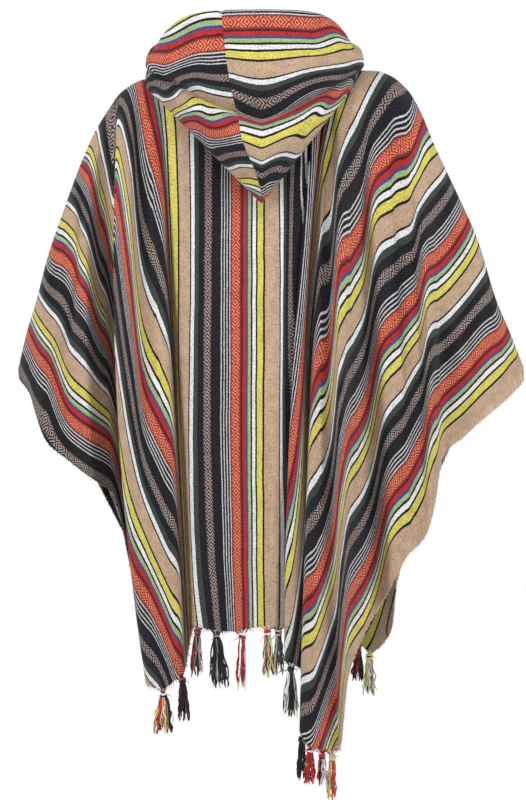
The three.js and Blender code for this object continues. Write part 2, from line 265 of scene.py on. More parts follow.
def shell_object(name: str, middle: Array, normals: Array, thickness: float,
                 uv: Array) -> Thing:
    """Makes a closed thin wall of cloth on a grid of mid-surface points.

    The two faces lie half the thickness to either side along the normals, and four strips close
    the edges.

    Args:
        name: the piece's name.
        middle: array (columns, rows, 3).
        normals: unit normals of the same shape.
        thickness: of the cloth.
        uv: array (columns, rows, 2), the place in the flat cloth.

    Returns:
        The object, with sharp edges round its rims.
    """
    count = middle[..., 0].size
    faces = [(middle + side * normals * thickness / 2).reshape(-1, 3) for side in (1, -1)]
    ids = np.arange(count).reshape(middle.shape[:2])
    quads = [ids[:-1, :-1], ids[1:, :-1], ids[1:, 1:], ids[:-1, 1:]]
    front = np.stack(quads, axis=-1).reshape(-1, 4)
    rim = np.concatenate([ids[:, 0], ids[-1, 1:], ids[-2::-1, -1], ids[0, -2::-1]])
    here, ahead = rim[:-1], rim[1:]
    edge = np.stack([ahead, here, here + count, ahead + count], axis=-1)
    both = np.concatenate([front, front[:, ::-1] + count, edge])
    thing = mesh_object(name, np.concatenate(faces), both, uv=np.tile(uv.reshape(-1, 2), (2, 1)))
    thing.data.set_sharp_from_angle(angle=RIM_ANGLE)
    return thing


# --------------------------------------------------------------------------- finishes


@dataclass(frozen=True)
class Stripe:
    """One stripe of the cloth: its width in millimetres, colour and motif.

    A chain is woven in the inlay colour, in lines of the given half width.
    """

    name: str
    width: float
    colour: Colour
    motif: Motif = Motif.PLAIN
    inlay: Colour | None = None
    line: float = 0.0


TAN = (0.560, 0.390, 0.262)
BLACK = (0.0075, 0.0050, 0.0050)
WHITE = (0.82, 0.81, 0.84)
FOREST = (0.042, 0.058, 0.048)
NAVY = (0.0082, 0.0080, 0.0135)
UMBER = (0.030, 0.021, 0.022)
BEIGE = (0.47, 0.38, 0.34)
RED = (0.47, 0.022, 0.026)
WINE = (0.43, 0.026, 0.026)
DARK_WINE = (0.070, 0.006, 0.009)
CRIMSON = (0.210, 0.026, 0.030)
ORANGE = (0.84, 0.34, 0.17)
BLUE = (0.065, 0.065, 0.23)
LIME = (0.36, 0.47, 0.22)
YELLOW = (0.72, 0.64, 0.125)
LILAC = (0.62, 0.55, 0.60)
SPECK = (0.17, 0.095, 0.060)
LINT = (0.50, 0.46, 0.47)
GAP = (0.0, 0.0, 0.0)

STRIPES = records(Stripe, [
    ("tan", 20.6, TAN, Motif.SPECKLED),
    ("tan_edge", 2.4, BLACK),
    ("white", 6.2, WHITE),
    ("forest", 7.4, FOREST),
    ("navy", 10.6, NAVY),
    ("braid", 12.0, UMBER, Motif.CHAIN, BEIGE, 0.21),
    ("night", 15.2, NAVY),
    ("line_1", 1.9, WHITE),
    ("gap_1", 2.9, NAVY),
    ("line_2", 1.9, WHITE),
    ("gap_2", 2.9, NAVY),
    ("line_3", 1.9, WHITE),
    ("gap_3", 2.9, NAVY),
    ("line_4", 2.0, WHITE),
    ("flame_side_1", 2.4, CRIMSON),
    ("flame", 13.8, WINE, Motif.CHAIN, ORANGE, 0.19),
    ("flame_side_2", 2.4, CRIMSON),
    ("flame_edge", 2.2, DARK_WINE),
    ("red", 5.8, RED),
    ("blue", 3.8, BLUE),
    ("lime", 5.4, LIME),
    ("lime_edge", 2.6, BLACK),
    ("white_2", 6.4, WHITE),
    ("white_edge", 2.6, BLACK),
    ("yellow", 9.8, YELLOW, Motif.SPECKLED),
    ("yellow_edge", 3.0, BLACK),
])


def stripe_spans() -> list[tuple[Stripe, float, float]]:
    """Each stripe with where it starts and ends in the repeat, from 0 to 1."""
    widths = np.array([s.width for s in STRIPES])
    ends = np.cumsum(widths) / widths.sum()
    return list(zip(STRIPES, np.concatenate([[0.0], ends[:-1]]), ends))


@dataclass(frozen=True)
class Grain:
    """A noise on the flat cloth: its counts a metre across and along, detail and roughness."""

    across: float
    along: float
    detail: float = 2.0
    rough: float = 0.7


GRAINS = {
    "edge": Grain(520, 240, rough=0.6),
    "drift": Grain(7, 11, rough=0.6),
    "fleck": Grain(560, 300, 3.0),
    "fibre": Grain(900, 620),
    "speck": Grain(420, 360, rough=0.65),
    "lint": Grain(420, 420),
    "tone": Grain(90, 40, 3.0, 0.6),
    "patch": Grain(380, 330),
}


class NodeGraph:
    """Short hand for building the node tree of a material or world."""

    def __init__(self, owner: bpy.types.ID) -> None:
        """Empties the owner's tree."""
        owner.use_nodes = True
        self.owner = owner
        self.tree = owner.node_tree
        self.tree.nodes.clear()

    def node(self, kind: str, inputs: dict | None = None, **settings: object) -> bpy.types.Node:
        """Adds a node, sets its properties, and feeds the inputs given by name or number."""
        made = self.tree.nodes.new(f"ShaderNode{kind}")
        for name, value in settings.items():
            setattr(made, name, value)
        for key, value in (inputs or {}).items():
            self.feed(made.inputs[key], value)
        return made

    def feed(self, socket: Socket, value: object) -> None:
        """Links an output to a socket, or sets the socket to a constant, a colour made opaque."""
        if isinstance(value, Socket):
            self.tree.links.new(value, socket)
        else:
            socket.default_value = (*value, 1.0) if isinstance(value, tuple) else value

    def math(self, operation: str, *values: object, clamp: bool = False) -> Socket:
        """Adds a math node and returns its output."""
        inputs = dict(enumerate(values))
        return self.node("Math", inputs, operation=operation, use_clamp=clamp).outputs[0]

    def product(self, *values: object) -> Socket:
        """Multiplies values one after the other."""
        return reduce(lambda a, b: self.math("MULTIPLY", a, b), values)

    def line(self, value: object, slope: float, start: object) -> Socket:
        """Start plus slope times a value, kept from 0 to 1."""
        return self.math("MULTIPLY_ADD", value, slope, start, clamp=True)

    def off_middle(self, value: object, middle: object = 0.5) -> Socket:
        """How far a value is from a middle, with its sign."""
        return self.math("SUBTRACT", value, middle)

    def shifted(self, place: object, noise: object, reach: float) -> Socket:
        """A place moved by a noise, up to half the reach either way."""
        return self.math("ADD", place, self.product(self.off_middle(noise), reach))

    def wave(self, place: object, pitch: float) -> Socket:
        """Sine of a place, with one period each pitch."""
        return self.math("SINE", self.product(place, 2 * math.pi / pitch))

    def band(self, value: object, centre: float, half: float, soft: float) -> Socket:
        """1 inside a band round a centre and 0 outside, with soft edges."""
        away = self.math("ABSOLUTE", self.off_middle(value, centre))
        inside = self.math("SUBTRACT", half + soft / 2, away)
        return self.math("DIVIDE", inside, soft, clamp=True)

    def mix(self, share: object, low: object, high: object) -> Socket:
        """Mixes two colours and returns the colour."""
        made = self.node("Mix", {0: share}, data_type="RGBA")
        for socket, value in zip((s for s in made.inputs if s.type == "RGBA"), (low, high)):
            self.feed(socket, value)
        return next(s for s in made.outputs if s.type == "RGBA")

    def noise(self, place: object, scale: float, detail: float, rough: float = 0.6) -> Socket:
        """Noise from 0 to 1 at a place."""
        settings = {"Vector": place, "Scale": scale, "Detail": detail, "Roughness": rough}
        return self.node("TexNoise", settings).outputs[0]

    def surface(self, look: dict[str, object]) -> bpy.types.Material:
        """Ends the tree in a shader with these inputs, and returns the material."""
        shader = self.node("BsdfPrincipled", look)
        self.node("OutputMaterial", {0: shader.outputs[0]})
        return self.owner

    def relief(self, height: object, distance: float) -> Socket:
        """Normal of a relief with the height from 0 to 1 times a distance."""
        return self.node("Bump", {"Distance": distance, "Height": height}).outputs[0]


class StripedCloth(NodeGraph):
    """Brushed cotton blanket cloth: lengthwise stripes, two of them with a woven diamond chain.

    Its UV map is the flat cloth in metres, u across the stripes and v along them. Each _line pair
    turns a value into a share by its slope and start, and each _edge is how soft a band's edges are.
    """

    warp_pitch = 1.5 * MM
    weft_pitch = 1.9 * MM
    dash_pitch = 3.1 * MM
    edge_waver = 1.5 * MM
    slow_waver = 3.0 * MM
    chain_waver = 1.4 * MM
    chain_share = 0.98
    chain_steepness, chain_spread = 4.7, 1.25
    chain_level, chain_edge = 0.66, 0.14
    stripe_edge, speck_edge, dash_edge = 0.008, 0.004, 0.002
    speck_strength = 0.75
    dash_slant = 60.0
    worn_line = (1.6, 0.12)
    speck_line = (6.5, -3.75)
    dash_line = (0.34, 0.26)
    row_line = (0.06, 0.80)
    lint_line = (0.16, -0.068)
    cross_line = (0.18, 0.4)
    patchiness = {"fibre": 1.45, "patch": 1.25, "tone": 0.6}
    fibre_height, fleck_height = 0.8, 0.6
    bump_height = 0.9 * MM
    look = {"Roughness": 0.95, "Specular IOR Level": 0.08, "Sheen Weight": 0.06,
            "Sheen Roughness": 0.6}

    def __init__(self) -> None:
        """Reads the place on the cloth, its noises, and its phase in the stripe repeat."""
        super().__init__(bpy.data.materials.new("striped_cotton"))
        uv = self.node("UVMap", uv_map="weave")
        parts = self.node("SeparateXYZ", {0: uv.outputs[0]})
        self.u, self.v = parts.outputs[0], parts.outputs[1]
        self.grain = {name: self.grained(kind) for name, kind in GRAINS.items()}
        moved = self.shifted(self.u, self.grain["edge"], self.edge_waver)
        moved = self.shifted(moved, self.grain["drift"], self.slow_waver)
        self.phase = self.math("FRACT", self.math("DIVIDE", moved, STRIPE_REPEAT))

    def grained(self, kind: Grain) -> Socket:
        """Noise of one kind at the place on the cloth."""
        place = self.node("CombineXYZ", {0: self.product(self.u, kind.across),
                                         1: self.product(self.v, kind.along)})
        return self.noise(place.outputs[0], 1.0, kind.detail, kind.rough)

    def base_colour(self) -> Socket:
        """Plain colours of the stripes, from a stepped ramp."""
        ramp = self.node("ValToRGB", {0: self.phase})
        ramp.color_ramp.interpolation = "CONSTANT"
        stops = ramp.color_ramp.elements
        for i, (stripe, start, _) in enumerate(stripe_spans()):
            stop = stops[i] if i < 2 else stops.new(start)
            stop.position = start
            stop.color = (*stripe.colour, 1.0)
        return ramp.outputs[0]

    def chain(self, stripe: Stripe, centre: float, half: float) -> Socket:
        """Where a chain's yarn shows in its stripe, worn thin here and there.

        Its lines are level lines of the distance along plus the distance across. A small diamond
        sits at each chain centre, chevrons stand round it, and the lines of two neighbours meet
        half way in a cross.
        """
        core = half * self.chain_share
        across = self.math("DIVIDE", self.off_middle(self.phase, centre), core)
        along = self.shifted(self.v, self.grain["fleck"], self.chain_waver)
        turn = self.math("FRACT", self.math("DIVIDE", along, CHAIN_REPEAT))
        down = self.math("ABSOLUTE", self.off_middle(turn))
        level = self.math("ADD", self.product(down, self.chain_steepness),
                          self.product(self.math("ABSOLUTE", across), self.chain_spread))
        turn = self.math("FRACT", level)
        lines = self.band(turn, self.chain_level, stripe.line, self.chain_edge)
        inside = self.band(self.phase, centre, core, self.stripe_edge)
        return self.product(lines, inside, self.line(self.grain["fibre"], *self.worn_line))

    def speckle(self, centre: float, half: float) -> Socket:
        """How strongly dark specks show in a stripe."""
        dark = self.line(self.grain["speck"], *self.speck_line)
        inside = self.band(self.phase, centre, half, self.speck_edge)
        return self.product(dark, inside, self.speck_strength)

    def dashes(self) -> Socket:
        """Dark ties that cut the four fine white lines into dashes."""
        spans = [(s, e) for stripe, s, e in stripe_spans() if stripe.name.startswith("line_")]
        low, high = spans[0][0], spans[-1][1]
        inside = self.band(self.phase, (low + high) / 2, (high - low) / 2, self.dash_edge)
        along = self.product(self.v, 2 * math.pi / self.dash_pitch)
        wave = self.math("SINE", self.math("ADD", self.product(self.phase, self.dash_slant), along))
        return self.product(inside, self.line(wave, *self.dash_line))

    def shade(self) -> Socket:
        """How bright the yarns show: darker in the gaps between them, patchy with the nap."""
        rows = self.wave(self.v, self.weft_pitch)
        shade = self.math("MULTIPLY_ADD", rows, *self.row_line)
        for name, strength in self.patchiness.items():
            shade = self.math("MULTIPLY_ADD", self.off_middle(self.grain[name]), strength, shade)
        return self.math("MULTIPLY", shade, 1.0, clamp=True)

    def weave(self) -> Socket:
        """Height of the weave: warp yarns along v crossed by weft yarns, softened by the nap."""
        warp, weft = self.wave(self.u, self.warp_pitch), self.wave(self.v, self.weft_pitch)
        yarns = self.math("MULTIPLY_ADD", self.product(warp, weft), *self.cross_line)
        nap = self.math("ADD", self.product(self.grain["fibre"], self.fibre_height),
                        self.product(self.grain["fleck"], self.fleck_height))
        return self.math("ADD", yarns, nap)

    def material(self) -> bpy.types.Material:
        """Builds the material."""
        colour = self.base_colour()
        for stripe, start, end in stripe_spans():
            centre, half = (start + end) / 2, (end - start) / 2
            if stripe.motif is Motif.CHAIN:
                colour = self.mix(self.chain(stripe, centre, half), colour, stripe.inlay)
            if stripe.motif is Motif.SPECKLED:
                colour = self.mix(self.speckle(centre, half), colour, SPECK)
        colour = self.mix(self.dashes(), colour, BLACK)
        colour = self.mix(self.shade(), GAP, colour)
        colour = self.mix(self.line(self.grain["lint"], *self.lint_line), colour, LINT)
        normal = self.relief(self.weave(), self.bump_height)
        return self.surface({"Base Color": colour, "Normal": normal, **self.look})


def yarn_material() -> bpy.types.Material:
    """Soft spun cotton in the strand's colour, patchy, with small lumps of its twist."""
    ply_pitch, lump_height = 2.2 * MM, 0.3 * MM
    graph = NodeGraph(bpy.data.materials.new("cotton_yarn"))
    colour = graph.node("Attribute", attribute_name="yarn").outputs["Color"]
    patch = graph.noise(graph.node("TexCoord").outputs["Object"], 1 / ply_pitch, 3.0)
    colour = graph.mix(graph.line(patch, 1.1, 0.38), GAP, colour)
    return graph.surface({"Base Color": colour, "Normal": graph.relief(patch, lump_height),
                          "Roughness": 0.9, "Specular IOR Level": 0.15, "Sheen Weight": 0.25})


# --------------------------------------------------------------------------- the worn form


@dataclass(frozen=True)
class Shoulder:
    """A point of the ridge over the shoulders and arms, with its place u across the flat cloth.

    Both halves are one length of cloth, so both read u here and the stripes run on over the ridge.
    """

    x: float
    y: float
    z: float
    u: float


@dataclass(frozen=True)
class HangLine:
    """A line down which the cloth hangs: its top, middle and lower edge.

    x and y are places, near_y that of the top of the plumb part, low_z the lower edge's height, and
    u the place across the flat cloth at drops of 0.45, 0.75 and 1. u is 0 at the centre back, and
    at drop 0 it is the ridge's.
    """

    top_x: float
    near_y: float
    mid_x: float
    mid_y: float
    low_x: float
    low_y: float
    low_z: float
    mid_u: float
    deep_u: float
    low_u: float


@dataclass(frozen=True)
class Crease:
    """A soft fold laid on the cloth.

    line and drop are its middle in hang lines and in shares of the drop, lean is how many lines it
    drifts over one whole drop, width and length are half its reach, and rise is its height,
    negative for a dent.
    """

    line: float
    drop: float
    lean: float
    width: float
    length: float
    rise: float


@dataclass(frozen=True)
class Pleat:
    """A fold whose steep side faces sideways and hides some of the cloth.

    top, mid and low are its hang line at drops of 0, 0.5 and 1, start and end the drops between
    which it shows, and span its reach to either side in hang lines. hidden is how much cloth its
    steep side hides, and depth how far it steps out from its left to its right, negative for in.
    """

    top: float
    mid: float
    low: float
    start: float
    end: float
    span: float
    hidden: float
    depth: float


@dataclass(frozen=True)
class HoodRing:
    """A ring of the hood round the neck, from the neckline down inside the sack and up outside.

    left and right are its half widths, the next columns its depth and height at the back, side and
    front, vee how sharp its V is at the back, and seam_x where the centre seam crosses it. The s
    columns are places across the stripes, at 0, 30, 60 and 90 degrees from the centre back.
    """

    left: float
    right: float
    back_y: float
    side_y: float
    front_y: float
    back_z: float
    side_z: float
    over_z: float
    front_z: float
    vee: float
    seam_x: float
    left_s0: float
    left_s30: float
    left_s60: float
    left_s90: float
    right_s0: float
    right_s30: float
    right_s60: float
    right_s90: float


SHOULDER_LINE = records(Shoulder, [
    (-409, 18, -474, -712), (-394, 17, -412, -656), (-378, 15, -360, -592), (-358, 13, -284, -515),
    (-332, 10, -209, -435), (-304, 8, -133, -342), (-282, 6, -83, -284), (-262, 5, -49, -251),
    (-234, 4, -11, -228), (-201, 2, 8, -189), (-150, 0, 18, -143), (-78, 0, 24, -78),
    (78, 0, 24, 88), (150, 0, 24, 147), (190, 1, 23, 179), (213, 2, 16, 199),
    (243, 4, -8, 222), (262, 5, -38, 258), (291, 8, -106, 308), (328, 11, -184, 388),
    (361, 13, -258, 463), (392, 15, -358, 542), (415, 17, -412, 588), (439, 18, -472, 648),
])

BACK_LINES = records(HangLine, [
    # 0: left tip, cuff and wing
    (-409, 4, -408, 4, -406, 2, -494, -712, -712, -712),
    (-395, -30, -394, -30, -388, -26, -516, -685, -700, -712),
    (-380, -42, -380, -48, -377, -44, -548, -660, -690, -712),
    (-358, -46, -359, -66, -358, -62, -596, -620, -685, -712),
    (-324, -50, -322, -58, -320, -66, -629, -550, -630, -712),
    (-292, -52, -292, -84, -284, -76, -656, -500, -610, -712),
    # 6: left valley and tuck
    (-266, -56, -265, -46, -250, -40, -682, -420, -590, -710),
    (-252, -60, -240, -38, -208, -22, -860, -405, -600, -712),
    (-244, -62, -222, -56, -166, -40, -982, -395, -560, -690),
    # 9: left fold
    (-236, -66, -240, -98, -192, -84, -994, -430, -495, -600),
    (-212, -74, -209, -124, -166, -116, -1004, -355, -455, -575),
    (-188, -80, -172, -122, -142, -118, -988, -295, -410, -520),
    # 12: pleat left of the centre panel
    (-174, -83, -151, -112, -129, -110, -976, -265, -385, -500),
    (-163, -85, -142, -90, -120, -82, -930, -157, -152, -160),
    # 14: centre panel and nape
    (-150, -87, -130, -114, -111, -118, -899, -140, -125, -130),
    (-112, -90, -95, -130, -80, -136, -905, -98, -90, -100),
    (-78, -88, -58, -128, -46, -130, -908, -60, -52, -54),
    (-42, -86, -30, -126, -20, -128, -903, -30, -23, -21),
    (0, -86, 2, -127, 4, -130, -899, 6, 8, 7),
    (42, -87, 28, -128, 20, -132, -899, 30, 25, 23),
    (78, -88, 46, -122, 34, -120, -902, 66, 42, 38),
    # 21: pleat right of the panel, and the strip in its gap
    (90, -88, 70, -110, 82, -104, -925, 78, 70, 80),
    (96, -88, 52, -130, 37, -138, -954, 84, 122, 190),
    (103, -88, 64, -132, 50, -142, -960, 101, 143, 210),
    # 24: right valley and fold
    (110, -88, 76, -108, 104, -118, -1010, 170, 255, 370),
    (118, -88, 82, -128, 62, -158, -1064, 255, 390, 535),
    (134, -87, 102, -150, 86, -174, -1096, 285, 420, 570),
    (152, -86, 124, -158, 124, -176, -1101, 330, 480, 648),
    (170, -84, 150, -132, 141, -146, -980, 355, 505, 645),
    # 29: right hollow and outer crest
    (192, -80, 190, -92, 203, -98, -852, 370, 515, 648),
    (214, -74, 224, -94, 236, -92, -790, 390, 530, 648),
    (242, -66, 254, -112, 270, -92, -752, 415, 560, 648),
    (264, -58, 278, -96, 286, -76, -700, 440, 570, 648),
    # 33: right wing
    (292, -52, 296, -70, 300, -60, -622, 455, 560, 648),
    (324, -50, 328, -64, 338, -58, -586, 490, 575, 648),
    (356, -48, 360, -60, 372, -54, -555, 530, 595, 648),
    # 36: right cuff and tip
    (384, -44, 390, -46, 404, -42, -529, 570, 615, 648),
    (412, -32, 415, -30, 424, -24, -510, 610, 635, 648),
    (439, 4, 439, 4, 439, 2, -496, 648, 648, 648),
])

FRONT_LINES = records(HangLine, [
    # 0: left tip and wing
    (-409, 32, -408, 32, -406, 32, -494, -712, -712, -712),
    (-395, 62, -394, 62, -388, 60, -508, -685, -700, -712),
    (-358, 72, -356, 84, -350, 78, -578, -620, -680, -712),
    (-324, 74, -318, 66, -312, 64, -610, -550, -640, -712),
    (-266, 74, -264, 100, -257, 84, -712, -440, -590, -705),
    # 5: left valley and fold
    (-236, 78, -226, 74, -219, 66, -780, -400, -560, -665),
    (-188, 86, -180, 122, -172, 122, -850, -345, -480, -590),
    # 7: left pleat
    (-164, 88, -148, 124, -136, 122, -846, -310, -440, -550),
    (-152, 88, -160, 98, -150, 94, -836, -225, -285, -330),
    # 9: panel with the neck slit
    (-140, 90, -132, 104, -128, 98, -832, -165, -180, -196),
    (-78, 92, -84, 138, -88, 146, -812, -94, -106, -118),
    (-38, 96, -44, 122, -48, 124, -806, -50, -56, -62),
    (-12, 96, -14, 134, -14, 138, -804, -14, -15, -16),
    (0, 98, 0, 136, 0, 140, -804, 0, 0, 0),
    (12, 96, 14, 134, 14, 136, -804, 14, 15, 16),
    (38, 96, 46, 120, 50, 120, -806, 50, 57, 64),
    (78, 92, 86, 138, 90, 144, -816, 98, 108, 120),
    # 17: right hollow and pleat
    (126, 90, 118, 104, 112, 98, -840, 148, 158, 170),
    (138, 90, 142, 100, 140, 92, -880, 230, 290, 340),
    (150, 88, 128, 122, 122, 116, -900, 305, 430, 540),
    # 20: right fold, corner and selvage
    (170, 88, 166, 126, 162, 112, -940, 345, 490, 605),
    (190, 84, 188, 114, 187, 94, -956, 370, 520, 628),
    (206, 82, 210, 96, 220, 78, -917, 390, 550, 648),
    (222, 80, 226, 90, 229, 74, -838, 400, 560, 648),
    # 24: right wing
    (264, 74, 266, 104, 264, 86, -744, 440, 570, 648),
    (324, 74, 328, 70, 336, 66, -578, 500, 590, 648),
    # 26: right cuff and tip
    (384, 70, 388, 72, 396, 68, -522, 570, 615, 648),
    (412, 60, 414, 60, 420, 58, -504, 610, 635, 648),
    (439, 32, 439, 32, 439, 32, -496, 648, 648, 648),
])

HOOD_RINGS = records(HoodRing, [
    # 0: neckline and stand
    (78, 78, -72, 0, 74, 8, 26, 34, -12, 2, 0, 600, 520, 400, 300, 600, 520, 430, 340),
    (94, 92, -88, -6, 82, 28, 40, 40, -2, 2, 0, 570, 500, 380, 290, 570, 500, 410, 330),
    # 2: down inside the sack
    (128, 120, -108, -34, 86, -8, 30, 52, 2, 1.7, 0, 530, 440, 320, 240, 530, 440, 360, 280),
    (156, 132, -126, -62, 88, -84, 19, 60, 6, 1.25, 0, 450, 360, 250, 180, 450, 370, 300, 230),
    (178, 144, -136, -86, 90, -158, 5, 64, 10, 1.1, 3, 400, 290, 180, 120, 380, 300, 240, 170),
    (192, 150, -148, -99, 92, -207, -12, 68, 14, 1.0, 4, 350, 230, 130, 80, 335, 250, 210, 140),
    # 6: up outside it
    (192, 152, -172, -106, 94, -172, -4, 74, 18, 1.05, -8, 295, 200, 110, 70, 290, 220, 190, 130),
    (190, 156, -188, -106, 96, -122, 4, 80, 22, 1.15, -32, 230, 170, 90, 60, 225, 210, 160, 120),
    # 8: the pinch
    (187, 159, -174, -96, 97, -80, 12, 83, 25, 1.25, -39, 190, 150, 80, 55, 190, 180, 145, 110),
    (186, 160, -172, -92, 97, -70, 14, 84, 26, 1.3, -42, 150, 135, 75, 50, 145, 165, 135, 105),
    # 10: the roll
    (192, 168, -194, -90, 98, -40, 26, 88, 30, 1.7, -48, 120, 115, 60, 45, 120, 140, 115, 100),
    (188, 166, -197, -84, 99, 8, 40, 92, 34, 2.2, -56, 80, 70, 40, 35, 80, 90, 85, 85),
    (176, 152, -188, -74, 99, 66, 54, 94, 38, 4, -63, 35, 30, 20, 25, 35, 35, 55, 70),
    # 13: top and face edge
    (170, 144, -171, -60, 98, 108, 66, 94, 42, 5.5, -67, 0, 0, -5, 15, 0, 0, 10, 50),
    (160, 134, -160, -50, 96, 98, 60, 88, 44, 5.5, -67, -12, -14, -16, 0, -12, -10, 0, 40),
])

BACK_CREASES = records(Crease, [
    (4.6, 0.45, -1.5, 0.8, 0.45, 7), (6.6, 0.55, 0.6, 0.9, 0.50, -20), (11.0, 0.35, 0.6, 0.7, 0.30, -5),
    (12.6, 0.40, 0.4, 0.9, 0.42, -18), (13.6, 0.80, 0.0, 0.6, 0.50, -14), (16.2, 0.55, -0.6, 0.8, 0.35, -5),
    (18.6, 0.72, 0.5, 0.9, 0.30, 5), (21.2, 0.50, 0.0, 0.8, 0.70, -12), (24.1, 0.50, 0.0, 0.9, 0.90, -22),
    (27.8, 0.62, 0.4, 0.5, 0.30, -6), (29.6, 0.35, 1.0, 0.8, 0.35, -10), (33.2, 0.45, 2.2, 0.9, 0.50, 8),
])

BACK_PLEATS = records(Pleat, [
    (4.55, 4.15, 2.40, -0.20, 0.50, 1.1, 20, -32),
    (10.15, 10.08, 10.0, 0.10, 0.58, 1.0, 45, -44),
    (25.3, 26.87, 27.3, 0.16, 1.3, 1.15, 45, 60),
    (28.2, 28.8, 28.95, 0.18, 1.3, 1.3, 50, 62),
    (30.4, 31.5, 31.1, 0.28, 0.90, 1.2, 25, 42),
])

FRONT_PLEATS = records(Pleat, [
    (3.2, 3.4, 3.6, 0.15, 1.3, 1.1, 30, 14),
    (6.0, 6.2, 6.3, 0.10, 1.3, 0.9, 30, 14),
    (24.6, 24.3, 24.1, 0.15, 1.3, 1.1, 30, -14),
])

FRONT_CREASES = records(Crease, [
    (3.4, 0.5, -0.8, 0.8, 0.45, 6), (6.2, 0.6, 0.4, 0.6, 0.35, -5), (11.0, 0.5, 0.5, 0.9, 0.35, 5),
    (15.4, 0.6, -0.5, 0.8, 0.35, -5), (21.0, 0.5, 0.6, 0.8, 0.40, 6),
])


def ridge_at(x: Array, column: str) -> Array:
    """Reads y, z or u of the ridge over the shoulders and arms at x."""
    xs, ys = (np.array([getattr(s, n) for s in SHOULDER_LINE], float) * MM for n in ("x", column))
    return curve_at(xs, ys, x)


@dataclass(frozen=True)
class Hem:
    """A cloth's lower edge: its points, their place u, the way out of the cloth, points a line."""

    points: Array
    u: Array
    out: Array
    steps: int

    def between(self, first: float, last: float) -> "Hem":
        """The stretch between two hang lines."""
        part = slice(int(first * self.steps), int(last * self.steps) + 1)
        return Hem(self.points[part], self.u[part], self.out[part], self.steps)


